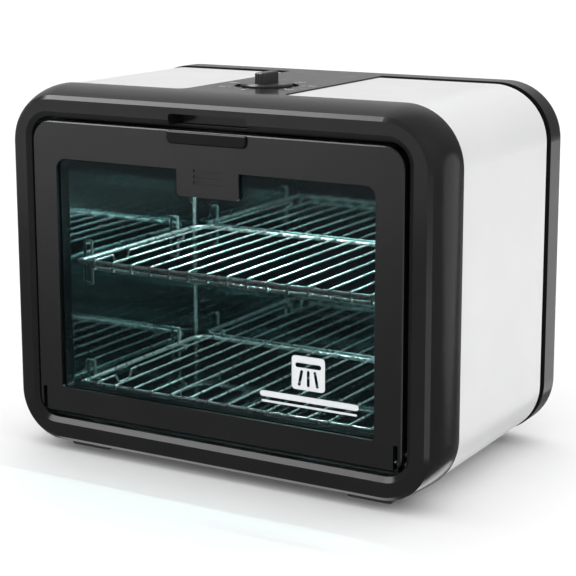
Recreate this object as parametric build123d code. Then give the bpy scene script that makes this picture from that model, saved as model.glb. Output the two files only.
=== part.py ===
from build123d import *
import math
import os

# Ultraviolet sterilizer cabinet: a counter-top box with a drop-down window door.
# Lengths are in millimetres. While parts are made, X runs across the cabinet from
# its middle, Y runs back from the front face, and Z runs up from a level just above
# the underside, which is at body_low.
# save() then moves everything so that the origin is under the middle, on the counter.

# Cabinet
body_width = 380.0
body_low = -2.4
body_top = 281.0
body_depth = 224.0
body_corner = 45.0
foot_height = 8.2
plastic = 3.0
sheet = 0.8
shell_sheet = 1.0

# Front frame
rim_width = 362.6
rim_top = 274.0
rim_corner = 38.0
rim_chamfer = 3.0
rim_depth = 34.0
flare_sections = 5
ring_side = 10.4
ring_top = 9.4
ring_foot = 14.4
bevel_width = 4.0
bevel_depth = 2.5
opening_corner = 17.0
sleeve_depth = 22.5
pocket_half = 34.0
pocket_top = 266.4
pocket_depth = 20.0
boss_radius = 3.6
pilot_radius = 1.5
frame_screw_x = 171.6
frame_screw_heights = (62.0, 212.0)

# Shells, top strip and rear frame
shell_inset = 1.0
shell_back = 190.6
rear_front = 197.3
rear_neck = 4.0
strip_half = 43.0
strip_thick = 3.5
strip_fillet = 9.0
pan_half = 141.5
pan_height = 12.0
pan_vent_length = 70.0
pan_vent_front = 86.0
pan_vent_pitch = 10.0
pan_vents = 7
rear_rounding = 8.0
rear_screw_x = 171.0
rear_screw_heights = (60.0, 221.0)

# Back panel and mains entry
panel_half = 175.7
panel_low = 14.3
panel_high = 266.7
panel_corner = 31.7
panel_gap = 0.3
panel_ledge = 11.7
vent_length = 84.0
vent_width = 3.2
vent_x = 62.0
vent_low = 98.0
vent_pitch = 13.0
vents_per_side = 9
cord_x = -120.0
cord_z = 52.0
cord_radius = 3.6
grommet_radius = 8.0
grommet_flange = 10.5

# Door
door_half = 160.8
door_low = 21.6
door_high = 254.3
door_corner = 16.0
door_foot_corner = 10.0
door_thick = 14.0
skin = 2.5
edge_chamfer = 0.8
window_half = 138.9
window_low = 42.0
window_high = 225.7
window_corner = 8.5
tab_half = 27.0
tab_low = 205.6
groove_size = (24.0, 2.2)
groove_pitch = 4.4
groove_rise = 11.0
groove_depth = 0.8
pane_thick = 3.0
pane_lap = 4.1
retainer_half = 153.5
slit_x = 156.0
slit_width = 3.5
slit_top = 41.0
handle_half = 34.5
handle_height = 9.8
handle_proud = 2.0
handle_seat = 1.2
hinge_depth = 6.0
hinge_height = 34.0
pin_radius = 2.5
running_clearance = 0.05
strike_half = 24.0
strike_low = 243.0
strike_high = 250.5
magnet_low = (55.0, 237.0)
magnet_high = (69.0, 243.5)
magnet_back = 12.0
door_shank_radius = 1.2
door_head_radius = 2.8
handle_head_radius = 2.4
driver_radius = 3.4
seal_width = 5.0

# Chamber
chamber_half = 146.0
chamber_front = 23.5
chamber_back = 204.0
chamber_floor = 18.0
chamber_top = 238.0
mouth_half = 144.5
mouth_low = 20.0
mouth_high = 234.0
mask_half = 176.5
mask_low = 6.0
mask_high = 265.0

# Wire racks and the hooks that hold them
rack_heights = {"lower": 39.5, "upper": 139.5}
rail_off = 6.6
rack_front = 27.0
rack_back = 199.5
rail_radius = 1.8
rail_turn = 12.0
low_bar_drop = 5.0
wire_radius = 0.9
wire_pitch = 17.65
wires_each_side = 7
dip_depths = (50.0, 73.0)
dip_height = 7.0
hook_radius = 1.2
hook_off = 3.4
hook_rise = 12.0
hook_depths = (48.0, 172.0)
hook_drops = {"lower": 17.0, "upper": 23.0}

# Timer
timer_depth = 86.0
dish_radius = 25.0
dish_depth = 1.5
timer_half = 24.0
timer_low = 243.0
neck_radius = 5.0
nut_radius = 8.0
nut_height = 1.8
skirt_radius = 20.0
skirt_thick = 2.8
grip_length = 24.0
grip_width = 8.0
grip_height = 8.6
shaft_radius = 3.0

# Lamp: a 6 watt T5 tube with G5 pins
tube_radius = 8.0
tube_length = 212.0
cap_length = 9.0
tube_depth = 184.0
tube_height = 222.0
pin_gap = 4.8
lamp_pin_radius = 1.1
lamp_pin_length = 7.0

# Ballast bay at the right of the chamber, and the terminals at its left
bay_x = 152.0
bay_width = 31.0
shelf_low = 52.0
shelf_front = 74.0
shelf_back = 168.0
shelf_sheet = 2.0
starter_depth = 150.0
terminal_x = -170.0
terminal_low = 60.0
terminal_high = 110.0
terminal_depth = 190.0
lead_radius = 1.2

# Feet
foot_size = (37.0, 28.0)
foot_x = 126.0
foot_depths = (31.0, 190.0)
foot_hole_radius = 2.0
foot_head_radius = 4.2
foot_head_room = 5.0
foot_names = {(-1, 0): "front_left_foot", (1, 0): "front_right_foot",
              (-1, 1): "rear_left_foot", (1, 1): "rear_right_foot"}

# Values that follow from the ones above
rim_half = rim_width / 2
rim_flat = rim_half - rim_chamfer
flare_angle = 2 * math.atan((body_width / 2 - rim_half) / (rim_depth - rim_chamfer))
bore_half = rim_flat - ring_side - bevel_width
bore_low = body_low + ring_foot + bevel_width
bore_high = rim_top - rim_chamfer - ring_top - bevel_width
hinge = (hinge_depth, hinge_height)
rack_half = chamber_half - rail_off
knob_low = body_top - dish_depth + 0.7
skirt_top = knob_low + skirt_thick
spindle = (0, timer_depth)
holder_x = tube_length / 2 + 5
panel_front = body_depth - 2
chamber_outside = chamber_half + sheet
counter = body_low - foot_height
placing = Pos(0, -(body_depth - handle_proud) / 2, -counter)


# ---- Helpers ----

def at(depth):
    """A plane across the cabinet, with its own X and Y along the cabinet's X and Z."""
    return Plane(origin=(0, depth, 0), x_dir=(1, 0, 0), z_dir=(0, -1, 0))


def outline(half, low, high, top_radius, foot_radius):
    """A rounded rectangle seen from the front, symmetric about the middle."""
    shape = Pos(0, (low + high) / 2) * Rectangle(2 * half, high - low)
    shape = fillet(shape.vertices().group_by(Axis.Y)[-1], top_radius)
    return fillet(shape.vertices().group_by(Axis.Y)[0], foot_radius)


def slab(shape, front, back):
    """A front outline given thickness between two depths."""
    return extrude(at(front) * shape, amount=-(back - front))


def taper(shape, front, other, back):
    """A solid that changes from one outline to another between two depths."""
    return loft([at(front) * shape, at(back) * other], ruled=True)


def holes(radius, places, front, back):
    """Round holes through a front outline's thickness, one at each place."""
    return [rod(radius, (x, front, z), (x, back, z)) for x, z in places]


def block(low, high):
    """A box between two corners."""
    size = [b - a for a, b in zip(low, high)]
    middle = [(a + b) / 2 for a, b in zip(low, high)]
    return Pos(*middle) * Box(*size)


def rod(radius, start, end):
    """A round bar from one point to another."""
    line = Vector(*end) - Vector(*start)
    return Solid.make_cylinder(radius, line.length, Plane(origin=start, z_dir=line))


def bent_wire(points, radius, bends):
    """A round wire along a path with rounded corners."""
    path = FilletPolyline(*points, radius=bends)
    start = Plane(origin=path @ 0, z_dir=path % 0)
    return sweep(start * Circle(radius), path=path)


def folded_wire(points, radius):
    """A round wire with tight folds, each rounded only by the wire's own thickness."""
    wire = rod(radius, points[0], points[1])
    for start, end in zip(points[1:], points[2:]):
        wire += Pos(*start) * Sphere(radius)
        wire += rod(radius, start, end)
    return wire


def screw(tip, head_end, shank, head, head_thick):
    """A pan-head screw from the end of its shank to the outside of its head."""
    line = Vector(*head_end) - Vector(*tip)
    under_head = tuple(Vector(*head_end) - line.normalized() * head_thick)
    return rod(shank, tip, under_head) + rod(head, under_head, head_end)


def mirrored(shape):
    """A shape and its mirror image across the middle of the cabinet."""
    return [shape, mirror(shape, about=Plane.YZ)]


def save(name, *shapes):
    """Put a node where it belongs and write it."""
    solids = [placing * solid for shape in shapes for solid in shape.solids()]
    node = solids[0] if len(solids) == 1 else Compound(children=solids)
    export_step(node, f"parts/{name}.step")


def body_outline(inset):
    """The cabinet's cross-section, drawn in by a distance."""
    radius = body_corner - inset
    return outline(body_width / 2 - inset, body_low + inset, body_top - inset, radius, radius)


# ---- Case ----

def rim_outline(inset):
    """The front frame's own outline behind its chamfer, drawn in by a distance."""
    radius = rim_corner - inset
    return outline(rim_half - inset, body_low + inset, rim_top - inset, radius, radius)


def door_bore(grown):
    """The hole in the front frame that the door closes into."""
    radius = opening_corner + grown
    return outline(bore_half + grown, bore_low - grown, bore_high + grown, radius, radius)


frame_boss_places = [(x, z) for x in (-frame_screw_x, frame_screw_x) for z in frame_screw_heights]


def flare(inset, front):
    """The band from the rim to the case, bowed outwards so that it meets the side panels level."""
    sections = []
    for step in range(flare_sections):
        share = step / (flare_sections - 1)
        turn = flare_angle * (1 - share)
        grown = (math.cos(turn) - math.cos(flare_angle)) / (1 - math.cos(flare_angle))
        depth = rim_depth - (rim_depth - front) * math.sin(turn) / math.sin(flare_angle)
        half = rim_half + (body_width / 2 - rim_half) * grown
        high = rim_top + (body_top - rim_top) * grown
        radius = rim_corner + (body_corner - rim_corner) * grown - inset
        section = outline(half - inset, body_low + inset, high - inset, radius, radius)
        sections.append(at(depth) * section)
    return loft(sections)


def pocket_walls():
    low = (-pocket_half - 2, plastic, bore_high)
    return block(low, (pocket_half + 2, pocket_depth + 2, pocket_top + 2))


def front_frame():
    nose = taper(rim_outline(rim_chamfer), 0, rim_outline(0), rim_chamfer)
    frame = nose + flare(0, rim_chamfer) - flare(plastic, plastic + 1)
    frame += slab(door_bore(plastic), plastic, sleeve_depth)
    frame += holes(boss_radius, frame_boss_places, plastic, sleeve_depth)
    frame -= holes(pilot_radius, frame_boss_places, 8, sleeve_depth)
    frame += pocket_walls()
    frame -= slab(door_bore(0), -1, sleeve_depth + 1)
    frame -= taper(door_bore(bevel_width), 0, door_bore(0), bevel_depth)
    pocket = outline(pocket_half, bore_high - 6, pocket_top, 3, 1)
    frame -= slab(pocket, -1, pocket_depth)
    hole_end = bore_half + plastic + 1
    return frame - rod(pin_radius + running_clearance, (-hole_end, *hinge), (hole_end, *hinge))


def strip_plan(grown):
    """The top strip seen from above, with hollow corners where it meets the front frame."""
    length = rear_front - rim_depth
    half = strip_half + grown
    reach = strip_fillet - grown
    plan = Pos(0, rim_depth + length / 2) * Rectangle(2 * half, length)
    plan += Pos(0, rim_depth + reach / 2) * Rectangle(2 * (half + reach), reach)
    for side in (-1, 1):
        plan -= Pos(side * (half + reach), rim_depth + reach) * Circle(reach)
    return plan


def side_shells():
    """The left and right steel side panels, each folded over the top and under the base."""
    skin_outline = body_outline(shell_inset) - body_outline(shell_inset + shell_sheet)
    shell = slab(skin_outline, rim_depth + 0.1, shell_back)
    shell -= extrude(Pos(0, 0, body_top / 2) * strip_plan(0.6), amount=body_top)
    shell -= block((-pan_half - 0.5, 0, body_low - 1), (pan_half + 0.5, body_depth, body_top / 2))
    return shell.solids().sort_by(Axis.X)


def top_panel():
    low = body_top - strip_thick
    panel = extrude(Pos(0, 0, low) * strip_plan(0), amount=strip_thick)
    panel -= rod(dish_radius, (*spindle, body_top - dish_depth), (*spindle, body_top + 1))
    return panel - rod(neck_radius + 0.2, (*spindle, low - 1), (*spindle, body_top))


rear_screw_places = [(x, z) for x in (-rear_screw_x, rear_screw_x) for z in rear_screw_heights]


def panel_outline(grown):
    """The back panel's outline, let out by a distance."""
    radius = panel_corner + grown
    return outline(panel_half + grown, panel_low - grown, panel_high + grown, radius, radius)


def rear_frame():
    ring = slab(body_outline(0), rear_front, body_depth)
    ring = fillet(ring.edges().group_by(Axis.Y)[-1], rear_rounding)
    ring += slab(body_outline(rear_neck), shell_back - 3, rear_front)
    ring -= slab(body_outline(rear_neck + plastic), shell_back - 4, body_depth - 5)
    ring -= slab(panel_outline(-panel_ledge), body_depth - 6, body_depth + 1)
    ring -= slab(panel_outline(panel_gap), panel_front, body_depth + 1)
    return ring - holes(pilot_radius, rear_screw_places, body_depth - 5, body_depth - 1)


def back_panel():
    behind = panel_front + 2
    panel = slab(panel_outline(0), panel_front, panel_front + 1)
    for column in (-1, 1):
        for row in range(vents_per_side):
            place = Pos(column * vent_x, vent_low + row * vent_pitch)
            panel -= slab(place * SlotOverall(vent_length, vent_width), panel_front - 1, behind)
    panel -= holes(pilot_radius + 0.2, rear_screw_places, panel_front - 1, behind)
    return panel - holes(grommet_radius, [(cord_x, cord_z)], panel_front - 1, behind)


def cord_grommet():
    """The rubber bush where the mains lead enters."""
    layers = [(grommet_radius - 0.05, -4, 1), (grommet_flange, -4, 0), (grommet_flange, 1, 2)]
    bush = Part()
    for radius, front, back in layers:
        bush += holes(radius, [(cord_x, cord_z)], panel_front + front, panel_front + back)
    return bush - holes(cord_radius, [(cord_x, cord_z)], panel_front - 5, panel_front + 3)


def base_pan():
    low = (-pan_half, rim_depth + 0.1, body_low)
    pan = block(low, (pan_half, shell_back - 3.2, pan_height))
    inside = (-pan_half + sheet, 0, body_low + sheet)
    pan -= block(inside, (pan_half - sheet, body_depth, pan_height + 1))
    for row in range(pan_vents):
        slot = Pos(0, pan_vent_front + row * pan_vent_pitch) * SlotOverall(pan_vent_length, vent_width)
        pan -= extrude(Pos(0, 0, body_low - 1) * slot, amount=3)
    for x, depth in foot_places():
        hole = (x, depth + foot_hole_shift(depth))
        pan -= rod(foot_hole_radius, (*hole, body_low - 1), (*hole, body_low + 2))
    return pan


# ---- Feet ----

def foot_places():
    return [(side * foot_x, foot_depths[row]) for side, row in foot_names]


def foot_hole_shift(depth):
    """How far a foot's screw stands towards the cabinet's middle from the foot's own."""
    return 8.0 if depth < body_depth / 2 else -3.0


def foot(x, depth):
    width, length = foot_size
    pad = Pos(x, depth, counter) * extrude(RectangleRounded(width, length, 3), amount=foot_height)
    pad = chamfer(pad.edges().group_by(Axis.Z)[0], 1.0)
    hole = (x, depth + foot_hole_shift(depth))
    pad -= rod(foot_hole_radius, (*hole, counter - 1), (*hole, body_low + 1))
    counterbore = foot_head_radius + 0.4
    return pad - rod(counterbore, (*hole, counter - 1), (*hole, counter + foot_head_room))


def foot_screws():
    screws = []
    for x, depth in foot_places():
        hole = (x, depth + foot_hole_shift(depth))
        tip = (*hole, body_low + 3)
        head_end = (*hole, counter + foot_head_room - 3)
        screws.append(screw(tip, head_end, foot_hole_radius - 0.1, foot_head_radius, 3))
    return screws


# ---- Chamber ----

def mouth():
    return outline(mouth_half, mouth_low, mouth_high, 2, 2)


def chamber_mask():
    """The bright steel plate around the chamber's mouth, screwed to the front frame."""
    mask = slab(outline(mask_half, mask_low, mask_high, 30, 30) - mouth(), sleeve_depth, chamber_front)
    return mask - holes(pilot_radius + 0.2, frame_boss_places, sleeve_depth - 1, chamber_front + 1)


def chamber_side():
    return block((chamber_half, chamber_front, chamber_floor), (chamber_outside, chamber_back, chamber_top))


def chamber_plate(low, high):
    return block((-chamber_outside, chamber_front, low), (chamber_outside, chamber_back, high))


def chamber_ceiling():
    plate = chamber_plate(chamber_top, chamber_top + sheet)
    for x in (-holder_x, holder_x):
        plate -= rod(4.0, (x, tube_depth, chamber_top - 1), (x, tube_depth, chamber_top + 2))
    return plate


def chamber_rear():
    low = (-chamber_outside, chamber_back, chamber_floor - sheet)
    return block(low, (chamber_outside, chamber_back + sheet, chamber_top + sheet))


def rack_hooks(level):
    """Four folded wires on the side walls. The rack's side rails rest on their crooks."""
    height = rack_heights[level]
    crook = -rail_radius - hook_radius - 0.1
    crook_off = rail_off + 3.0
    steps = [(0, hook_rise), (hook_off, hook_rise), (hook_off, crook), (crook_off, crook),
             (crook_off, crook - 2.7), (hook_off, crook - 5.4),
             (hook_off, -hook_drops[level]), (0, -hook_drops[level])]
    hooks = []
    for depth in hook_depths:
        points = [(chamber_half - step, depth, height + rise) for step, rise in steps]
        hooks += mirrored(folded_wire(points, hook_radius))
    return hooks


# ---- Racks ----

def rack(level):
    height = rack_heights[level]
    left = [(-rack_half, rack_front, height), (-rack_half, rack_back, height)]
    right = [(rack_half, rack_back, height), (rack_half, rack_front, height)]
    grille = bent_wire(left + right, rail_radius, rail_turn)
    grille += rod(rail_radius, (-rack_half, rack_front, height), (rack_half, rack_front, height))
    for side in (-1, 1):
        grille += Pos(side * rack_half, rack_front, height) * Sphere(rail_radius)
    low_bar = height - low_bar_drop
    reach = wires_each_side * wire_pitch + 3
    bar_front = rack_front + 2.2
    grille += rod(rail_radius * 0.8, (-reach, bar_front, low_bar), (reach, bar_front, low_bar))
    for index in range(-wires_each_side, wires_each_side + 1):
        grille += rack_wire(index, height, low_bar, bar_front)
    return grille


def rack_wire(index, height, low_bar, bar_front):
    """One grille wire, hooked down over the front rail. The outermost two dip near the front."""
    top = height + rail_radius + wire_radius - 0.6
    nose = rack_front - rail_radius - wire_radius + 0.6
    steps = [(bar_front, low_bar), (nose, low_bar), (nose, top)]
    if abs(index) == wires_each_side:
        low = top - dip_height
        front, back = dip_depths
        steps += [(front, top), (front + 4, low), (back - 4, low), (back, top)]
    steps.append((rack_back, top))
    return bent_wire([(index * wire_pitch, y, z) for y, z in steps], wire_radius, 1.2)


# ---- Door ----

def window():
    opening = outline(window_half, window_low, window_high, window_corner, 3)
    tab = outline(tab_half, tab_low, window_high + window_corner, 1, 3)
    return opening - tab


door_screw_places = [(x, z) for x in (-147.6, 147.6) for z in (60.0, 140.0, 212.0)]
door_screw_places += [(x, z) for x in (-75.0, 75.0) for z in (31.5, 240.0)]
handle_screw_places = [(-22.0, 249.0), (22.0, 249.0)]


def door_outline(inset):
    high = door_high - inset
    return outline(door_half - inset, door_low + inset, high, door_corner - inset, door_foot_corner - inset)


def door_grooves():
    """Three shallow grooves across the tab, for the eye only."""
    width, tall = groove_size
    lines = Sketch()
    for row in range(3):
        lines += Pos(0, tab_low + groove_rise + row * groove_pitch) * Rectangle(width, tall)
    return slab(lines, -1, groove_depth)


def door_slits():
    """The two slits that leave springy tabs around the hinge pins."""
    tall = slit_top - door_low + 2
    slits = Sketch()
    for side in (-1, 1):
        slits += Pos(side * slit_x, slit_top - tall / 2) * Rectangle(slit_width, tall)
    return slab(slits, -1, door_thick)


def door_frame():
    edge = door_thick - 2
    frame = slab(door_outline(0), 0, edge)
    frame = chamfer(frame.edges().group_by(Axis.Y)[0], edge_chamfer)
    frame -= slab(door_outline(skin), skin, edge + 1)
    frame += holes(2.8, door_screw_places, skin, skin + pane_thick)
    frame -= slab(window(), -1, skin + 1)
    frame -= door_grooves()
    frame -= door_slits()
    frame -= holes(door_shank_radius, door_screw_places, 1.7, skin + pane_thick + 1)
    frame -= slab(handle_outline(0), -1, handle_seat)
    frame -= holes(1.6, handle_screw_places, -1, skin + 1)
    for pin in mirrored(rod(pin_radius, (slit_x, *hinge), (bore_half, *hinge))):
        frame -= pin
    return frame


def hinge_pins():
    """The two studs pressed into the door's lower tabs, which turn in the front frame."""
    return mirrored(rod(pin_radius, (slit_x + slit_width / 2, *hinge), (bore_half + plastic - 0.2, *hinge)))


def door_window():
    pane = outline(window_half + pane_lap, window_low - pane_lap, window_high + pane_lap, 6, 6)
    return slab(pane, skin, skin + pane_thick)


def door_retainer():
    """The inner frame that clamps the pane into the door."""
    front = skin + pane_thick
    ring = slab(outline(retainer_half, door_low + 3, door_high - 3, 10, 6), front, door_thick)
    ring -= slab(window(), front - 1, door_thick + 1)
    ring -= holes(door_shank_radius + 0.2, door_screw_places, front - 1, door_thick + 1)
    ring -= holes(door_head_radius + 0.2, door_screw_places, door_thick - 3, door_thick + 1)
    ring -= holes(driver_radius, handle_screw_places, front - 1, door_thick + 1)
    ring -= strike_plate()
    return ring - switch_magnet()


def door_screws():
    tip = skin - 0.5
    end = door_thick - 0.8
    shank, head = door_shank_radius, door_head_radius
    return [screw((x, tip, z), (x, end, z), shank, head, 2) for x, z in door_screw_places]


def handle_outline(inset):
    low = door_high - handle_height
    return outline(handle_half - inset, low + inset, door_high - 0.4 - inset, edge_chamfer, 4)


def door_handle():
    """The lip that fingers pull, let into the door's front."""
    bar = slab(handle_outline(0.05), -handle_proud, handle_seat)
    bar = chamfer(bar.edges().group_by(Axis.Y)[0], edge_chamfer)
    return bar - holes(door_shank_radius, handle_screw_places, -1, handle_seat + 1)


def handle_screws():
    tip = 1.2 - handle_proud
    end = skin + 2
    head = handle_head_radius
    return [screw((x, tip, z), (x, end, z), door_shank_radius, head, 2) for x, z in handle_screw_places]


def strike_plate():
    return block((-strike_half, door_thick - 1, strike_low), (strike_half, door_thick, strike_high))


def door_seal():
    """Foam on the door's back, up both sides of the chamber's mouth and over it."""
    outside = mouth_half + 2.5 + seal_width
    inside = outside - seal_width
    high = mouth_high + 2.5
    ring = outline(outside, 48, high + seal_width, 5, 1) - outline(inside, 40, high, 3, 1)
    return slab(ring, door_thick, sleeve_depth - 0.3)


def magnet_catch():
    """The magnet block over the chamber's mouth, a hair off the strike plate."""
    low = (2 - strike_half, door_thick + 0.3, strike_low + 0.5)
    return block(low, (strike_half - 2, sleeve_depth, strike_high - 0.5))


# ---- Timer and knob ----

def timer_body():
    top = body_top - strip_thick
    back = timer_depth + timer_half
    case = block((-timer_half, timer_depth - timer_half, timer_low), (timer_half, back, top))
    case = chamfer(case.edges().filter_by(Axis.Z), 3)
    case += rod(neck_radius, (*spindle, top - 1), (*spindle, knob_low + 1.5))
    for x in (-16, -6):
        case += block((x - 0.4, back, timer_low + 7), (x + 0.4, back + 6, timer_low + 13))
    shaft_hole = rod(shaft_radius + running_clearance, (*spindle, timer_low + 9), (*spindle, body_top + 5))
    return case - shaft_hole


def timer_nut():
    low = body_top - dish_depth
    nut = Pos(*spindle, low) * extrude(RegularPolygon(nut_radius, 6), amount=nut_height)
    return nut - rod(neck_radius, (*spindle, low - 1), (*spindle, low + nut_height + 1))


def timer_shaft():
    return rod(shaft_radius, (*spindle, timer_low + 11), (*spindle, skirt_top + 5))


def timer_knob():
    skirt = rod(skirt_radius, (*spindle, knob_low), (*spindle, skirt_top))
    skirt = chamfer(skirt.edges().group_by(Axis.Z)[-1], 1.0)
    grip_plan = RectangleRounded(grip_width, grip_length, 1.5)
    grip = Pos(*spindle, skirt_top) * extrude(grip_plan, amount=grip_height)
    grip = chamfer(grip.edges().group_by(Axis.Z)[-1], edge_chamfer)
    knob = skirt + grip
    for end in (-1, 1):
        for rib in range(3):
            groove = ((rib - 1) * 2.2, timer_depth + end * (grip_length / 2 + 0.2))
            knob -= rod(0.6, (*groove, skirt_top), (*groove, skirt_top + grip_height + 1))
    knob -= rod(10.0, (*spindle, knob_low - 1), (*spindle, knob_low + 1.8))
    return knob - rod(shaft_radius, (*spindle, knob_low - 1), (*spindle, skirt_top + 5))


# ---- Lamp and wiring ----

def uv_tube():
    half = tube_length / 2 - cap_length
    return rod(tube_radius, (-half, tube_depth, tube_height), (half, tube_depth, tube_height))


def tube_caps():
    inner = tube_length / 2 - cap_length
    outer = tube_length / 2
    cap = rod(tube_radius + 0.2, (inner, tube_depth, tube_height), (outer, tube_depth, tube_height))
    for pin in lamp_pins(outer):
        cap += pin
    return mirrored(cap)


def lamp_pins(start):
    """The two contact pins at one end of the tube, from a distance off the middle."""
    heights = (tube_height - pin_gap / 2, tube_height + pin_gap / 2)
    end = tube_length / 2 + lamp_pin_length
    return [rod(lamp_pin_radius, (start, tube_depth, z), (end, tube_depth, z)) for z in heights]


def lamp_holders():
    face = tube_length / 2
    body = block((face, tube_depth - 11, tube_height - 12), (face + 10, tube_depth + 11, chamber_top))
    body = chamfer(body.edges().filter_by(Axis.X), 2)
    for pin in lamp_pins(face - 1):
        body -= pin
    return mirrored(body)


def lamp_reflector():
    """A folded bright steel trough over the tube, fixed to the ceiling."""
    half = tube_length / 2 - 1
    depths = (tube_depth - 14, tube_depth - 8, tube_depth + 8, tube_depth + 14)
    low = chamber_top - 9
    outer = Polyline((depths[0], low), (depths[1], chamber_top), (depths[2], chamber_top), (depths[3], low))
    strip = Polyline((depths[3] - 1, low), (depths[2] - 0.5, chamber_top - sheet),
                     (depths[1] + 0.5, chamber_top - sheet), (depths[0] + 1, low))
    closing = [Line(outer @ 1, strip @ 0), Line(strip @ 1, outer @ 0)]
    profile = make_face(Wire([*outer.edges(), closing[0], *strip.edges(), closing[1]]))
    side = Plane(origin=(-half, 0, 0), x_dir=(0, 1, 0), z_dir=(1, 0, 0))
    return extrude(side * profile, amount=2 * half)


def ballast():
    low = shelf_low + 10
    coil = block((bay_x + 3, 80, low + 8), (bay_x + 27, 128, low + 42))
    core = block((bay_x, 86, low), (bay_x + 30, 122, low + 50))
    return chamfer((coil + core).edges().filter_by(Axis.Y).group_by(Axis.Z)[-1], 1)


def starter():
    place = (bay_x + bay_width / 2, starter_depth)
    low = shelf_low + shelf_sheet
    return rod(13, (*place, low), (*place, low + 8)) + rod(10.5, (*place, low + 8), (*place, low + 42))


def bay_shelf():
    """The bracket beside the chamber that carries the ballast and the starter."""
    corner = (chamber_outside, shelf_front, shelf_low)
    shelf = block(corner, (bay_x + bay_width, shelf_back, shelf_low + shelf_sheet))
    shelf += block(corner, (chamber_outside + shelf_sheet, shelf_back, shelf_low + 38))
    return shelf + block((bay_x, 86, shelf_low + shelf_sheet), (bay_x + 30, 122, shelf_low + 10))


def terminal_block():
    """A strip of four screw terminals on a tongue off the chamber's side."""
    side = terminal_x + 14
    middle = terminal_depth
    strip = block((terminal_x, middle - 10, terminal_low), (side, middle + 10, terminal_high))
    for row in range(4):
        height = terminal_low + 7 + row * 12
        strip -= rod(2.2, (side - 5, middle, height), (side + 1, middle, height))
    tongue = block((terminal_x, middle - 14, terminal_low - 4), (side, chamber_back, terminal_low))
    tongue += block((side, middle - 14, terminal_low - 4), (-chamber_outside, chamber_back, terminal_low - 1))
    return strip + tongue


def reed_switch():
    return block((50, chamber_front, 241), (74, chamber_front + 8, 249))


def switch_magnet():
    (left, low), (right, high) = magnet_low, magnet_high
    return block((left, skin + pane_thick, low), (right, magnet_back, high))


def internal_wiring():
    """Insulated leads between the terminals, the timer, the ballast and the lamp holders."""
    above = chamber_top + 8
    side = -(chamber_half + 14)
    spade = (timer_depth + timer_half + 7, timer_low + 10)
    starter_x = bay_x + bay_width / 2
    terminals = (terminal_depth, terminal_high)
    leads = [
        [(-16, *spade), (-16, 170, spade[1]), (side, 170, spade[1]),
         (side, terminal_depth, 200), (side, *terminals)],
        [(-6, *spade), (-6, starter_depth, spade[1]), (starter_x, starter_depth, spade[1]),
         (starter_x, starter_depth, shelf_low + shelf_sheet + 42)],
        [(-holder_x, tube_depth, chamber_top + 1), (-holder_x, tube_depth, above),
         (side + 6, tube_depth, above), (side + 6, *terminals)],
        [(holder_x, tube_depth, chamber_top + 1), (holder_x, tube_depth, above),
         (bay_x + 8, tube_depth, above), (bay_x + 8, 104, 160), (bay_x + 8, 104, shelf_low + 60)],
    ]
    return [bent_wire(points, lead_radius, 4) for points in leads]


# ---- Fasteners of the case ----

def frame_screws():
    return [screw((x, 9, z), (x, chamber_front + 2, z), 1.5, 3.2, 2) for x, z in frame_boss_places]


def back_screws():
    back = body_depth - 1
    return [screw((x, back - 4, z), (x, back + 1, z), 1.5, 3.2, 1) for x, z in rear_screw_places]


def main():
    os.makedirs("parts", exist_ok=True)
    left_shell, right_shell = side_shells()
    save("front_frame", front_frame())
    save("left_side_shell", left_shell)
    save("right_side_shell", right_shell)
    save("top_panel", top_panel())
    save("rear_frame", rear_frame())
    save("back_panel", back_panel())
    save("cord_grommet", cord_grommet())
    save("base_pan", base_pan())
    for (side, row), name in foot_names.items():
        save(name, foot(side * foot_x, foot_depths[row]))
    save("foot_screws", *foot_screws())
    save("frame_screws", *frame_screws())
    save("back_screws", *back_screws())
    save("chamber_mask", chamber_mask())
    save("chamber_right_wall", chamber_side())
    save("chamber_left_wall", mirror(chamber_side(), about=Plane.YZ))
    save("chamber_ceiling", chamber_ceiling())
    save("chamber_floor", chamber_plate(chamber_floor - sheet, chamber_floor))
    save("chamber_rear_wall", chamber_rear())
    for level in rack_heights:
        save(f"{level}_rack_hooks", *rack_hooks(level))
        save(f"{level}_rack", rack(level))
    save("door_frame", door_frame())
    save("door_hinge_pins", *hinge_pins())
    save("door_window", door_window())
    save("door_retainer", door_retainer())
    save("door_screws", *door_screws())
    save("door_handle", door_handle())
    save("handle_screws", *handle_screws())
    save("door_strike_plate", strike_plate())
    save("door_seal", door_seal())
    save("magnet_catch", magnet_catch())
    save("switch_magnet", switch_magnet())
    save("reed_switch", reed_switch())
    save("timer_body", timer_body())
    save("timer_nut", timer_nut())
    save("timer_shaft", timer_shaft())
    save("timer_knob", timer_knob())
    save("uv_tube", uv_tube())
    save("tube_end_caps", *tube_caps())
    save("lamp_holders", *lamp_holders())
    save("lamp_reflector", lamp_reflector())
    save("ballast", ballast())
    save("lamp_starter", starter())
    save("bay_shelf", bay_shelf())
    save("terminal_block", terminal_block())
    save("internal_wiring", *internal_wiring())


main()
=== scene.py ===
import math

import bmesh
import bpy
from mathutils import Matrix, Vector


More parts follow.
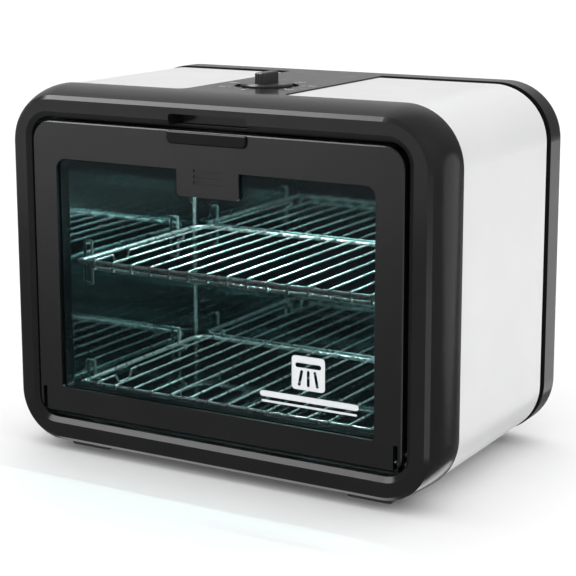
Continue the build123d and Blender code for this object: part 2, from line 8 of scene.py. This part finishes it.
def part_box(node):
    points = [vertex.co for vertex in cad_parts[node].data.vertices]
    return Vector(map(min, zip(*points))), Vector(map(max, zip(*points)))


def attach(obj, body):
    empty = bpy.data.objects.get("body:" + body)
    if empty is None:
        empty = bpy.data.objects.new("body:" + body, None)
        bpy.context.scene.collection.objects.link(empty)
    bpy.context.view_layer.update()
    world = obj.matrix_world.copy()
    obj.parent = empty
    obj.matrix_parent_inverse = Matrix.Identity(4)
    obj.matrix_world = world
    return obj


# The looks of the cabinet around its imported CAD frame, in metres, with its front towards -Y.
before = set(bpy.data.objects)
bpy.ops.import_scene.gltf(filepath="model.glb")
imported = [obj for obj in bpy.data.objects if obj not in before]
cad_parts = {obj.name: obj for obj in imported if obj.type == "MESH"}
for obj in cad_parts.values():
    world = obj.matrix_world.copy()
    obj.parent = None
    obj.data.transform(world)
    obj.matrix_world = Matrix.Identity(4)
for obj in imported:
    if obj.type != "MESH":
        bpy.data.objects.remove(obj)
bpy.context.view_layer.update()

MM = 0.001
MICRON = 0.001 * MM


def show(name, data):
    """A new object in the scene, made from a camera, a light, a mesh or a curve."""
    made = bpy.data.objects.new(name, data)
    bpy.context.scene.collection.objects.link(made)
    return made


# ---- camera -------------------------------------------------------------------------------------
CAMERA_OFF_FRONT = (0.6595, -1.0179, 0.4242)  # from the middle of the rim's front, at floor level
CAMERA_AZIMUTH = math.radians(30.14)
CAMERA_ELEVATION = math.radians(11.17)
CAMERA_ROLL = math.radians(-0.13)
CAMERA_LENS = 104.54  # mm, as is the sensor's width
CAMERA_SENSOR = 36
CAMERA_SHIFT_Y = -0.0833
CAMERA_REACH = 50  # metres


def add_camera():
    """The camera at the right front of the cabinet, a little above it."""
    data = bpy.data.cameras.new("camera")
    data.lens = CAMERA_LENS
    data.sensor_width = CAMERA_SENSOR
    data.shift_y = CAMERA_SHIFT_Y
    data.clip_end = CAMERA_REACH
    camera = show("camera", data)
    back = Vector((
        math.sin(CAMERA_AZIMUTH) * math.cos(CAMERA_ELEVATION),
        -math.cos(CAMERA_AZIMUTH) * math.cos(CAMERA_ELEVATION),
        math.sin(CAMERA_ELEVATION),
    ))
    turn = (-back).to_track_quat("-Z", "Y").to_matrix() @ Matrix.Rotation(CAMERA_ROLL, 3, "Z")
    place = Vector(CAMERA_OFF_FRONT) + Vector((0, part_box("front_frame")[0].y, 0))
    camera.matrix_world = Matrix.Translation(place) @ turn.to_4x4()
    bpy.context.scene.camera = camera


# ---- materials ----------------------------------------------------------------------------------
# Sockets of a Mix node that mixes colours
MIX_FIRST, MIX_SECOND, MIX_RESULT = 6, 7, 2


class Surface:
    """A Principled material with short calls for the nodes that give it detail."""

    def __init__(self, name, color, roughness, metallic=0.0, level=0.5):
        self.material = bpy.data.materials.new(name)
        self.material.use_nodes = True
        self.nodes = self.material.node_tree.nodes
        self.links = self.material.node_tree.links
        self.shader = self.nodes["Principled BSDF"]
        self.color = color
        self.roughness = roughness
        self.set(Base_Color=(*color, 1), Roughness=roughness, Metallic=metallic, Specular_IOR_Level=level)
        self.place = self.nodes.new("ShaderNodeTexCoord").outputs["Object"]

    def set(self, **values):
        """Sets sockets of the shader, with _ for a space."""
        for name, value in values.items():
            self.shader.inputs[name.replace("_", " ")].default_value = value

    def stretched(self, scale):
        """The place on the object with each axis scaled, for a grain that runs one way."""
        mapping = self.nodes.new("ShaderNodeMapping")
        mapping.inputs["Scale"].default_value = scale
        self.links.new(self.place, mapping.inputs["Vector"])
        return mapping.outputs["Vector"]

    def noise(self, size, detail=3, place=None):
        """Noise with spots about size metres across."""
        texture = self.nodes.new("ShaderNodeTexNoise")
        texture.inputs["Scale"].default_value = 1 / size
        texture.inputs["Detail"].default_value = detail
        self.links.new(place or self.place, texture.inputs["Vector"])
        return texture.outputs["Fac"]

    def cells(self, size):
        """Distance to the nearest of scattered points about size metres apart."""
        texture = self.nodes.new("ShaderNodeTexVoronoi")
        texture.inputs["Scale"].default_value = 1 / size
        self.links.new(self.place, texture.inputs["Vector"])
        return texture.outputs["Distance"]

    def ranged(self, value, low, high, source=(0.3, 0.7)):
        """value moved from the source range, which is most of a noise's, to low..high."""
        node = self.nodes.new("ShaderNodeMapRange")
        for name, number in zip(("From Min", "From Max", "To Min", "To Max"), (*source, low, high)):
            node.inputs[name].default_value = number
        self.links.new(value, node.inputs["Value"])
        return node.outputs["Result"]

    def tinted(self, value, other, share=(0.0, 1.0)):
        """The base colour goes towards other where value is high, within the shares given."""
        mix = self.nodes.new("ShaderNodeMix")
        mix.data_type = "RGBA"
        self.links.new(self.ranged(value, *share), mix.inputs["Factor"])
        base = self.shader.inputs["Base Color"]
        if base.links:
            self.links.new(base.links[0].from_socket, mix.inputs[MIX_FIRST])
        else:
            mix.inputs[MIX_FIRST].default_value = (*self.color, 1)
        mix.inputs[MIX_SECOND].default_value = (*other, 1)
        self.links.new(mix.outputs[MIX_RESULT], base)

    def rough(self, value, spread):
        """Roughness varies by spread either way with value."""
        result = self.ranged(value, self.roughness - spread, self.roughness + spread)
        self.links.new(result, self.shader.inputs["Roughness"])

    def bump(self, value, height):
        """Raises the surface by up to height metres with value, on top of any bump it has."""
        node = self.nodes.new("ShaderNodeBump")
        node.inputs["Distance"].default_value = height
        self.links.new(value, node.inputs["Height"])
        normal = self.shader.inputs["Normal"]
        if normal.links:
            self.links.new(normal.links[0].from_socket, node.inputs["Normal"])
        self.links.new(node.outputs[0], normal)


def moulded(name, color, roughness, grain, height, level):
    """Moulded plastic: fine spark-eroded grain, faint cloudiness and uneven gloss."""
    s = Surface(name, color, roughness, level=level)
    s.tinted(s.noise(30 * MM), tuple(1.15 * c + 0.001 for c in color), (0.0, 0.6))
    s.rough(s.noise(12 * MM, 4), 0.02)
    s.bump(s.noise(grain, 2), height)
    return s


def painted(name, color, roughness):
    """Powder coat on steel sheet: orange peel and a faint change of tone."""
    s = Surface(name, color, roughness, level=0.35)
    s.tinted(s.noise(60 * MM, 2), tuple(0.97 * c for c in color))
    s.rough(s.noise(20 * MM), 0.03)
    s.bump(s.noise(2.2 * MM, 2), 3 * MICRON)
    s.bump(s.noise(120 * MM, 1), 100 * MICRON)
    return s


def plated(name, color, roughness):
    """Plated or rolled sheet with a spangle of crystals."""
    s = Surface(name, color, roughness, metallic=1.0)
    s.tinted(s.cells(6 * MM), tuple(0.7 * c for c in color))
    s.rough(s.noise(5 * MM), 0.07)
    s.bump(s.noise(1 * MM), 10 * MICRON)
    return s


def rubber(name):
    """Black rubber with a dusty bloom."""
    s = moulded(name, (0.016, 0.016, 0.016), 0.62, 0.8 * MM, 50 * MICRON, 0.3)
    s.tinted(s.noise(4 * MM, 5), (0.04, 0.039, 0.038), (0.0, 0.35))
    return s


def bare_steel(name):
    """Zinc-plated screws and small brackets."""
    s = Surface(name, (0.6, 0.6, 0.58), 0.3, metallic=1.0)
    s.tinted(s.noise(2 * MM, 4), (0.42, 0.42, 0.41))
    s.rough(s.noise(3 * MM, 4), 0.09)
    s.bump(s.noise(0.6 * MM), 12 * MICRON)
    return s


def mirror_steel(name):
    """Mirror-finished stainless sheet, slightly bowed, with faint polishing marks."""
    s = Surface(name, (0.4, 0.5, 0.505), 0.06, metallic=1.0)
    s.tinted(s.noise(50 * MM), (0.32, 0.42, 0.43))
    s.rough(s.noise(6 * MM, 4, s.stretched((1, 1, 12))), 0.015)
    s.bump(s.noise(90 * MM, 1), 300 * MICRON)
    return s


def chromed_wire(name):
    """Bright nickel-plated wire, a little uneven."""
    s = Surface(name, (0.8, 0.8, 0.8), 0.3, metallic=0.78)
    s.tinted(s.noise(10 * MM), (0.7, 0.71, 0.72))
    s.rough(s.noise(4 * MM, 4), 0.06)
    s.bump(s.noise(1.5 * MM), 10 * MICRON)
    return s


def seam_steel(name):
    """The edge of the chamber's sheet where it's rolled, less sharp than the mirror."""
    s = Surface(name, (0.62, 0.72, 0.72), 0.24, metallic=0.8)
    s.tinted(s.noise(20 * MM), (0.45, 0.56, 0.57))
    s.rough(s.noise(4 * MM, 4), 0.06)
    s.bump(s.noise(3 * MM, 2), 10 * MICRON)
    return s


def tinted_pane(name):
    """Smoked pane that stops the lamp's ultraviolet."""
    s = Surface(name, (0.002, 0.004, 0.0045), 0.06, level=0.06)
    s.rough(s.noise(30 * MM, 4), 0.02)
    s.bump(s.noise(80 * MM, 1), 50 * MICRON)
    s.set(Alpha=0.62)
    return s


def lamp_glass(name):
    """The lit tube, a little uneven along its length."""
    s = Surface(name, (0.75, 0.9, 0.9), 0.15)
    s.tinted(s.noise(10 * MM), (0.6, 0.85, 0.86))
    s.rough(s.noise(6 * MM), 0.03)
    s.set(Emission_Color=(0.35, 1.0, 0.93, 1), Emission_Strength=14.0)
    return s


def magnet(name):
    """Sintered ferrite, dull and speckled."""
    s = Surface(name, (0.035, 0.034, 0.034), 0.55, metallic=0.2)
    s.tinted(s.noise(1.5 * MM, 5), (0.09, 0.088, 0.085))
    s.rough(s.noise(2 * MM, 4), 0.08)
    s.bump(s.noise(0.6 * MM, 4), 40 * MICRON)
    return s


def iron_core(name):
    """Laminated core: thin sheets stacked side by side, lacquered."""
    s = Surface(name, (0.05, 0.05, 0.055), 0.45, metallic=0.6)
    s.tinted(s.noise(0.8 * MM, 2, s.stretched((1, 40, 1))), (0.12, 0.12, 0.13))
    s.rough(s.noise(3 * MM), 0.1)
    s.bump(s.noise(0.8 * MM, 1, s.stretched((1, 40, 1))), 100 * MICRON)
    return s


def print_ink(name):
    """White screen-print ink, a little uneven."""
    s = Surface(name, (0.6, 0.61, 0.62), 0.5)
    s.tinted(s.noise(1.2 * MM, 4), (0.5, 0.51, 0.52), (0.0, 0.5))
    s.rough(s.noise(2 * MM), 0.08)
    s.bump(s.noise(0.4 * MM, 2), 10 * MICRON)
    return s


# The record's slots, each with its kind of material and that material's name and values.
# For a moulded one: colour, roughness, the grain's size and depth, and how much it shines.
FINISHES = {
    "black_plastic": (moulded, "black_plastic", (0.009, 0.009, 0.0092), 0.19, 1.1 * MM, 4 * MICRON, 0.15),
    "door_plastic": (moulded, "door_plastic", (0.002, 0.002, 0.0022), 0.34, 0.9 * MM, 12 * MICRON, 0.42),
    "knob_plastic": (moulded, "knob_plastic", (0.014, 0.014, 0.015), 0.3, 0.7 * MM, 10 * MICRON, 0.4),
    "white_paint": (painted, "white_paint", (0.66, 0.66, 0.665), 0.32),
    "dark_paint": (painted, "dark_paint", (0.02, 0.02, 0.021), 0.42),
    "rubber_black": (rubber, "rubber"),
    "zinc_screws": (bare_steel, "zinc"),
    "mirror_steel": (mirror_steel, "mirror_steel"),
    "chromed_wire": (chromed_wire, "chromed_wire"),
    "clear_pane": (tinted_pane, "tinted_pane"),
    "lamp_glass": (lamp_glass, "lamp_glass"),
    "lamp_metal": (plated, "lamp_metal", (0.8, 0.8, 0.78), 0.25),
    "white_plastic": (moulded, "white_plastic", (0.78, 0.78, 0.75), 0.35, 0.8 * MM, 10 * MICRON, 0.4),
    "magnet_ferrite": (magnet, "ferrite"),
    "timer_case": (moulded, "timer_case", (0.55, 0.53, 0.46), 0.45, 1.0 * MM, 20 * MICRON, 0.4),
    "iron_core": (iron_core, "iron_core"),
    "zinc_sheet": (plated, "zinc_sheet", (0.6, 0.61, 0.62), 0.35),
    "wire_insulation": (moulded, "wire_insulation", (0.35, 0.03, 0.02), 0.42, 0.9 * MM, 10 * MICRON, 0.4),
}
HANDLE_FINISH = (moulded, "handle_plastic", (0.002, 0.002, 0.0022), 0.2, 1.2 * MM, 3 * MICRON, 0.1)


def made_from(kind, *values):
    """The material of one row of FINISHES."""
    return kind(*values).material


def finish_nodes():
    """Gives every node the finish of its material slot in the record, and the handle its own gloss."""
    made = {slot: made_from(*row) for slot, row in FINISHES.items()}
    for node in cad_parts.values():
        slots = node.data.materials
        for i, old in enumerate(slots):
            slots[i] = made[old.name.split(".")[0]]  # the slot's name, without Blender's number after it
    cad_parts["door_handle"].data.materials[0] = made_from(*HANDLE_FINISH)


# ---- floor and light ----------------------------------------------------------------------------
FLOOR_HALF = 5.0
FLOOR_COLOR = (0.84, 0.84, 0.84)
FLOOR_ROUGHNESS = 0.6
FLOOR_LEVEL = 0.05
BACKDROP_LIGHT = 1.1  # of the white that the camera sees behind the floor
ROOM_LIGHT = 0.3  # from every side
# Soft light from the sky. direction, degrees of full light, degrees where it ends, strength
SKY_PATCHES = (
    ((0.90, -0.25, 0.35), 20, 45, 0.45),
    ((0.1, 0.2, 0.97), 20, 70, 0.5),
    ((-0.45, 0.85, 0.25), 12, 40, 0.1),
    ((-0.44, 0.68, 0.58), 12, 35, 0.35),
)
# Cards that only gloss sees. name, direction, radius, strength
CARDS = (
    ("card_top", (-0.54, -0.12, 0.83), 0.7, 13.0),
    ("card_front", (-0.51, -0.63, 0.58), 0.7, 13.0),
    ("card_right", (0.88, -0.41, -0.24), 0.4, 3.4),
    ("card_band", (0.84, 0.53, 0.02), 0.9, 2.1),
    ("card_rear", (0.36, 0.91, -0.2), 0.6, 1.7),
    ("card_corner", (0.2, 0.66, -0.72), 0.75, 3.2),
    ("card_under", (-0.41, 0.24, -0.88), 0.9, 1.8),
)
CARD_DISTANCE = 3.0
CARD_SIDES = 24
# Soft boxes. name, place, what they point at, size, watts, whether gloss shows them
SOFT_BOXES = (
    ("overhead", (-0.1, 0.3, 2.6), (0, 0.3, 0), (14, 14), 455, False),
    ("front_strip", (-0.62, -1.0, 0.16), (-0.1, -0.1, 0.2), (0.9, 0.3), 1.2, True),
    ("low_fill", (0.1, -1.6, 0.25), (0, 0, 0), (2.5, 0.5), 12, False),
)
LAMP_COLOR = (0.66, 1.0, 0.97)
LAMP_POWER = 2.9
TUBE_GLOW_SIZE = (200 * MM, 12 * MM)
TUBE_GLOW_AHEAD = 12 * MM  # of the tube's middle
TUBE_GLOW_DROP = 4 * MM  # from the tube's underside
MIRROR_GLOW_SIZE = (260 * MM, 150 * MM)
MIRROR_GLOW_Y = -20 * MM  # a little ahead of the chamber's middle
MIRROR_GLOW_RISE = 14 * MM  # over the tube's underside
MIRROR_GLOW_SHARE = 0.2  # of the lamp's power
GLOW_LEAN = 10 * MM  # how far ahead of straight down the glows point, at floor level


def add_floor():
    """A wide pale floor under the feet."""
    side = FLOOR_HALF
    corners = [(-side, -side, 0), (side, -side, 0), (side, side, 0), (-side, side, 0)]
    mesh = bpy.data.meshes.new("floor")
    mesh.from_pydata(corners, [], [(0, 1, 2, 3)])
    floor = show("floor", mesh)
    finish = Surface("studio_floor", FLOOR_COLOR, FLOOR_ROUGHNESS, level=FLOOR_LEVEL)
    floor.data.materials.append(finish.material)
    floor.visible_glossy = False


def add_cards():
    """Round white cards that show as highlights on edges and corners, and light nothing else."""
    for name, toward, radius, strength in CARDS:
        build = bmesh.new()
        bmesh.ops.create_circle(build, cap_ends=True, segments=CARD_SIDES, radius=radius)
        mesh = bpy.data.meshes.new(name)
        build.to_mesh(mesh)
        card = show(name, mesh)
        place = CARD_DISTANCE * Vector(toward).normalized()
        card.matrix_world = Matrix.Translation(place) @ place.to_track_quat("Z", "Y").to_matrix().to_4x4()
        lit = Surface(name, (0, 0, 0), 1.0, level=0.0)
        lit.set(Emission_Color=(1, 1, 1, 1), Emission_Strength=strength)
        lit.material.cycles.emission_sampling = "NONE"
        card.data.materials.append(lit.material)
        card.visible_camera = False
        card.visible_diffuse = False
        card.visible_transmission = False
        card.visible_shadow = False


def patch(nodes, links, toward, inner, outer, strength):
    """The strength of a soft round patch of light in the sky, centred on a direction."""
    place = nodes.new("ShaderNodeTexCoord").outputs["Generated"]
    dot = nodes.new("ShaderNodeVectorMath")
    dot.operation = "DOT_PRODUCT"
    links.new(place, dot.inputs[0])
    dot.inputs[1].default_value = Vector(toward).normalized()
    fall = nodes.new("ShaderNodeMapRange")
    fall.interpolation_type = "SMOOTHSTEP"
    fall.inputs["From Min"].default_value = math.cos(math.radians(outer))
    fall.inputs["From Max"].default_value = math.cos(math.radians(inner))
    fall.inputs["To Min"].default_value = 0
    fall.inputs["To Max"].default_value = strength
    links.new(dot.outputs["Value"], fall.inputs["Value"])
    return fall.outputs["Result"]


def add_world():
    """A pale room with soft patches of light. Straight to the camera it is plain white."""
    world = bpy.data.worlds.new("studio")
    bpy.context.scene.world = world
    world.use_nodes = True
    nodes = world.node_tree.nodes
    links = world.node_tree.links
    nodes.clear()
    seen = nodes.new("ShaderNodeBackground")
    seen.inputs["Strength"].default_value = BACKDROP_LIGHT
    room = nodes.new("ShaderNodeBackground")
    # Each sum adds a patch to the sum after it, and the last one adds its patch to the room's light
    strength = room.inputs["Strength"]
    for row in SKY_PATCHES:
        both = nodes.new("ShaderNodeMath")
        both.operation = "ADD"
        links.new(patch(nodes, links, *row), both.inputs[0])
        links.new(both.outputs[0], strength)
        strength = both.inputs[1]
    strength.default_value = ROOM_LIGHT
    path = nodes.new("ShaderNodeLightPath")
    mix = nodes.new("ShaderNodeMixShader")
    links.new(path.outputs["Is Camera Ray"], mix.inputs["Fac"])
    for shader, socket in ((room, mix.inputs[1]), (seen, mix.inputs[2])):
        shader.inputs["Color"].default_value = (1, 1, 1, 1)
        links.new(shader.outputs[0], socket)
    links.new(mix.outputs[0], nodes.new("ShaderNodeOutputWorld").inputs["Surface"])


def add_area(name, place, target, size, power, color=(1, 1, 1)):
    """A soft box at place that shines at target."""
    data = bpy.data.lights.new(name, "AREA")
    data.shape = "RECTANGLE"
    data.size, data.size_y = size
    data.energy = power
    data.color = color
    light = show(name, data)
    aim = (Vector(target) - Vector(place)).to_track_quat("-Z", "Y")
    light.matrix_world = Matrix.Translation(place) @ aim.to_matrix().to_4x4()
    light.visible_camera = False
    return light


def add_lights():
    """The soft boxes, and the lamp's glow, straight from the tube and off the mirrors."""
    for name, place, target, size, power, glossy in SOFT_BOXES:
        add_area(name, place, target, size, power).visible_glossy = glossy
    low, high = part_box("uv_tube")
    middle = (low + high) / 2
    straight = (middle.x, middle.y - TUBE_GLOW_AHEAD, low.z - TUBE_GLOW_DROP)
    mirrored = (middle.x, MIRROR_GLOW_Y, low.z + MIRROR_GLOW_RISE)
    for name, place, size, power, glossy in (
        ("tube_glow", straight, TUBE_GLOW_SIZE, LAMP_POWER, True),
        ("mirror_glow", mirrored, MIRROR_GLOW_SIZE, MIRROR_GLOW_SHARE * LAMP_POWER, False),
    ):
        target = (place[0], place[1] - GLOW_LEAN, 0)
        glow = add_area(name, place, target, size, power, LAMP_COLOR)
        glow.visible_glossy = glossy
        glow.visible_transmission = False


# ---- outlines -----------------------------------------------------------------------------------
ARC_STEPS = 8


def arc(center, radius, start, end):
    """Points along an arc, its ends in degrees."""
    turns = [math.radians(start + (end - start) * i / ARC_STEPS) for i in range(ARC_STEPS + 1)]
    return [(center[0] + radius * math.cos(t), center[1] + radius * math.sin(t)) for t in turns]


def round_rect(low, high, radius):
    """A rounded rectangle as a list of points, counter-clockwise."""
    corners = (
        ((high[0] - radius, low[1] + radius), -90),
        ((high[0] - radius, high[1] - radius), 0),
        ((low[0] + radius, high[1] - radius), 90),
        ((low[0] + radius, low[1] + radius), 180),
    )
    return [point for center, start in corners for point in arc(center, radius, start, start + 90)]


def bar(start, end, width):
    """A bar with round ends between two points."""
    line = Vector(end) - Vector(start)
    turn = math.degrees(math.atan2(line.y, line.x))
    return arc(end, width / 2, turn - 90, turn + 90) + arc(start, width / 2, turn + 90, turn + 270)


# ---- pieces too small for the frame -------------------------------------------------------------
SEAM_RADIUS = 2.2 * MM
LIP_HALF = 150 * MM  # of its length
LIP_WIDTH = 5.4 * MM
LIP_LAP = 0.7 * MM  # behind the door's edge
LIP_GAP = 0.2 * MM  # to the chamber's mouth
SILL_HEIGHT = 6.4 * MM
HEAD_HEIGHT = 3.6 * MM


def swept(name, profile, start, end, up, body, material):
    """A profile drawn along a straight line, closed at both ends. Its x lies across, its y along up."""
    line = Vector(end) - Vector(start)
    across = line.normalized().cross(Vector(up))
    build = bmesh.new()
    first, last = (
        [build.verts.new(middle + across * x + Vector(up) * y) for x, y in profile]
        for middle in (Vector(start), Vector(end))
    )
    for i in range(len(profile)):
        j = (i + 1) % len(profile)
        build.faces.new((first[i], first[j], last[j], last[i]))
    build.faces.new(first[::-1])
    build.faces.new(last)
    bmesh.ops.recalc_face_normals(build, faces=build.faces)
    mesh = bpy.data.meshes.new(name)
    build.to_mesh(mesh)
    piece = show(name, mesh)
    piece.data.materials.append(material)
    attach(piece, body)


def corner_seams():
    """The rolled seams where the chamber's rear wall meets its sides, bright as the wires."""
    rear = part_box("chamber_rear_wall")[0].y
    curve = [(SEAM_RADIUS - a, SEAM_RADIUS - b) for a, b in arc((0, 0), SEAM_RADIUS, 0, 90)] + [(0, 0)]
    finish = seam_steel("seam_steel").material
    for side, node in (("left", "chamber_left_wall"), ("right", "chamber_right_wall")):
        low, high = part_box(node)
        x, toward = (high.x, 1) if side == "left" else (low.x, -1)
        profile = [(toward * a, b) for a, b in curve]
        start = (x, rear, low.z)
        end = (x, rear, high.z)
        swept(f"chamber_seam_{side}", profile, start, end, (0, -1, 0), "cabinet", finish)


def lip_seals():
    """Rubber lips in front of the chamber's mouth, behind the door's lower and upper edges."""
    mask_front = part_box("chamber_mask")[0].y
    door_low, door_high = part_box("door_frame")
    half = LIP_WIDTH / 2
    y = mask_front - half - LIP_GAP
    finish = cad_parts["door_seal"].data.materials[0]
    for name, edge, up, height in (
        ("sill_seal", door_low.z + LIP_LAP, 1, SILL_HEIGHT),
        ("head_seal", door_high.z - LIP_LAP, -1, HEAD_HEIGHT),
    ):
        rounded = [(a, b + height - half) for a, b in arc((0, 0), half, 0, 180)]
        profile = [(half, 0)] + rounded + [(-half, 0)]
        z = edge - up * height
        swept(name, profile, (-LIP_HALF, y, z), (LIP_HALF, y, z), (0, 0, up), "cabinet", finish)


# ---- prints -------------------------------------------------------------------------------------
PRINT_THICK = 0.05 * MM
PRINT_WELD = PRINT_THICK / 20  # points nearer than this become one
FONT_SCALE = 1.4  # of a font's size to its digits' height


def flat_mesh(curve, place):
    """The mesh of a curve or text, moved to its place on the print's plane."""
    shown = show("ink_outline", curve)
    bpy.context.view_layer.update()
    mesh = bpy.data.meshes.new_from_object(shown.evaluated_get(bpy.context.evaluated_depsgraph_get()))
    mesh.transform(place)
    bpy.data.objects.remove(shown)
    return mesh


def text_mesh(text, center, height):
    """Digits about height tall, centred on a point of the print's plane."""
    curve = bpy.data.curves.new("ink_text", "FONT")
    curve.body = text
    curve.size = height * FONT_SCALE
    curve.align_x = "CENTER"
    curve.align_y = "CENTER"
    curve.extrude = PRINT_THICK / 2
    return flat_mesh(curve, Matrix.Translation((*center, 0)))


def ink(name, shapes, place, body, texts=()):
    """Thin print made of closed outlines, with any outline inside another left open, on a plane."""
    curve = bpy.data.curves.new(name, "CURVE")
    curve.dimensions = "2D"
    curve.fill_mode = "BOTH"
    curve.extrude = PRINT_THICK / 2
    for shape in shapes:
        spline = curve.splines.new("POLY")
        spline.points.add(len(shape) - 1)
        for point, (x, y) in zip(spline.points, shape):
            point.co = (x, y, 0, 1)
        spline.use_cyclic_u = True
    joined = bmesh.new()
    joined.from_mesh(flat_mesh(curve, Matrix.Identity(4)))
    for text, center, height in texts:
        joined.from_mesh(text_mesh(text, center, height))
    bmesh.ops.remove_doubles(joined, verts=joined.verts, dist=PRINT_WELD)
    mesh = bpy.data.meshes.new(name)
    joined.to_mesh(mesh)
    piece = show(name, mesh)
    piece.matrix_world = place
    piece.data.materials.append(bpy.data.materials.get("print_ink") or print_ink("print_ink").material)
    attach(piece, body)


# The mark on the pane, measured from the cabinet's middle and the case's underside
TILE_LOW = (70.0 * MM, 72.9 * MM)
TILE_SIZE = (27.6 * MM, 25.4 * MM)
TILE_CORNER = 3 * MM
TILE_LAMP_DROP = 7 * MM  # from the tile's upper edge
TILE_LAMP_HALF = 9 * MM  # of its length
TILE_LAMP_THICK = 3.6 * MM
RAYS = 3
RAY_THICK = 2.4 * MM
# How far apart the rays are at each end, and how far under the lamp
RAY_START = (5.5 * MM, 4.6 * MM)
RAY_END = (7.5 * MM, 14.5 * MM)
LABEL_BARS = ((65.8 * MM, 4.4 * MM), (60.2 * MM, 1.6 * MM))  # height and thickness
LABEL_ENDS = (45 * MM, 123 * MM)


def window_mark():
    """A lamp tube that shines down, in a tile over two plain bars, on the pane's outer face."""
    pane_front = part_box("door_window")[0].y
    case_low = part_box("front_frame")[0].z
    corner = Vector(TILE_LOW)
    top = corner + Vector(TILE_SIZE)
    lamp_z = top.y - TILE_LAMP_DROP
    middle = corner.x + TILE_SIZE[0] / 2
    lamp = bar((middle - TILE_LAMP_HALF, lamp_z), (middle + TILE_LAMP_HALF, lamp_z), TILE_LAMP_THICK)
    shapes = [round_rect(corner, top, TILE_CORNER), lamp]
    for ray in range(RAYS):
        spread = ray - (RAYS - 1) / 2
        start, end = ((middle + spread * apart, lamp_z - drop) for apart, drop in (RAY_START, RAY_END))
        shapes.append(bar(start, end, RAY_THICK))
    left, right = LABEL_ENDS
    shapes += [bar((left, height), (right, height), thick) for height, thick in LABEL_BARS]
    upright = Matrix.Rotation(math.radians(90), 4, "X")
    place = Matrix.Translation((0, pane_front - PRINT_THICK, case_low)) @ upright
    ink("window_mark", shapes, place, "door")


DIAL_MARKS = 7
DIAL_STEP = math.radians(50)
DIAL_MINUTES = 10  # from one mark to the next
TICK_INNER = 27.5 * MM  # from the knob's middle, as the next two are
TICK_OUTER = 30.0 * MM
NUMBER_RADIUS = 35.0 * MM
TICK_WIDTH = 0.8 * MM
NUMBER_HEIGHT = 4.6 * MM
SKIRT_HEIGHT = 2.8 * MM
POINTER_ENDS = (-18 * MM, -13.5 * MM)
POINTER_WIDTH = 1.3 * MM


def dial_print():
    """Minutes round the knob, from 0 at the front clockwise to 60."""
    knob_low, knob_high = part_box("timer_knob")
    center = (knob_low + knob_high) / 2
    strip_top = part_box("top_panel")[1].z
    shapes, texts = [], []
    for mark in range(DIAL_MARKS):
        turn = -math.pi / 2 - mark * DIAL_STEP
        out = Vector((math.cos(turn), math.sin(turn)))
        shapes.append(bar(out * TICK_INNER, out * TICK_OUTER, TICK_WIDTH))
        texts.append((str(mark * DIAL_MINUTES), out * NUMBER_RADIUS, NUMBER_HEIGHT))
    place = Matrix.Translation((center.x, center.y, strip_top + PRINT_THICK))
    ink("dial_print", shapes, place, "cabinet", texts)


def knob_line():
    """The pointer printed on the knob's skirt, in line with its grip."""
    knob_low, knob_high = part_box("timer_knob")
    center = (knob_low + knob_high) / 2
    skirt_top = knob_low.z + SKIRT_HEIGHT
    start, end = POINTER_ENDS
    place = Matrix.Translation((center.x, center.y, skirt_top + PRINT_THICK))
    ink("knob_line", [bar((0, start), (0, end), POINTER_WIDTH)], place, "timer_knob")


add_camera()
add_floor()
add_world()
add_cards()
add_lights()
finish_nodes()
corner_seams()
lip_seals()
window_mark()
dial_print()
knob_line()
bpy.context.scene.view_settings.view_transform = "Standard"  # no film look, so white stays white
